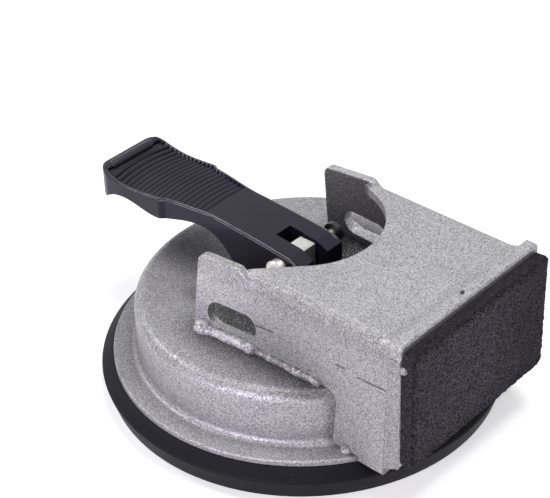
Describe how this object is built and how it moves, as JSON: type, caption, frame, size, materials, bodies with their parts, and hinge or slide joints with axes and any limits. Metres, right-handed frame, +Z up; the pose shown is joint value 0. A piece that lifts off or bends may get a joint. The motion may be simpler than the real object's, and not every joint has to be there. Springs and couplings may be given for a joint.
{
  "type": "suction cup lifter",
  "caption": "Lever suction cup with a steel cover and a welded channel bracket that carries a padded upright stop face.",
  "frame": {"origin": "on the cup's axis, at the surface that the rubber seals on", "axes": "+Z up along the cup's axis, +X towards the padded stop face, the closed lever points to -X"},
  "size_m": [0.136, 0.1198, 0.0528],
  "materials": {
    "rubber": "satin moulded rubber",
    "grey_paint": "silver-grey sparkle paint over steel",
    "felt": "coarse black felt",
    "lever_plastic": "satin black moulded plastic",
    "zinc_steel": "zinc plated",
    "pin_steel": "bright steel",
    "bush_plastic": "natural plastic",
    "retainer_plastic": "black"
  },
  "bodies": {
    "cup": {"suction_disc": "rubber", "guide_bush": "bush_plastic", "wear_plate": "zinc_steel", "stop_pad": "felt", "cover": "grey_paint", "bracket_channel": "grey_paint", "stop_plate": "grey_paint", "top_weld": "grey_paint", "side_weld_near": "grey_paint", "side_weld_far": "grey_paint", "leg_weld_near": "grey_paint", "leg_weld_far": "grey_paint", "corner_weld_near": "grey_paint", "corner_weld_far": "grey_paint"},
    "stud": {"insert_plate": "zinc_steel", "stud_washer": "zinc_steel", "lift_stud": "zinc_steel"},
    "lever": {"lever": "lever_plastic", "pivot_pin": "pin_steel", "pin_washers": "zinc_steel", "pin_retainer": "retainer_plastic"}
  },
  "joints": [
    {"name": "stud_slide", "type": "slide", "parent": "cup", "child": "stud", "axis": [0, 0, -1], "range_m": [0, 0.0035], "deforming": ["suction_disc"]},
    {"name": "lever_hinge", "type": "hinge", "parent": "stud", "child": "lever", "pos_m": [0, 0, 0.0396], "axis": [0, 1, 0], "range_deg": [0, 90]}
  ],
  "couplings": [
    {"joint": "lever_hinge", "follows": "stud_slide", "rad_per_m": 448.79}
  ]
}
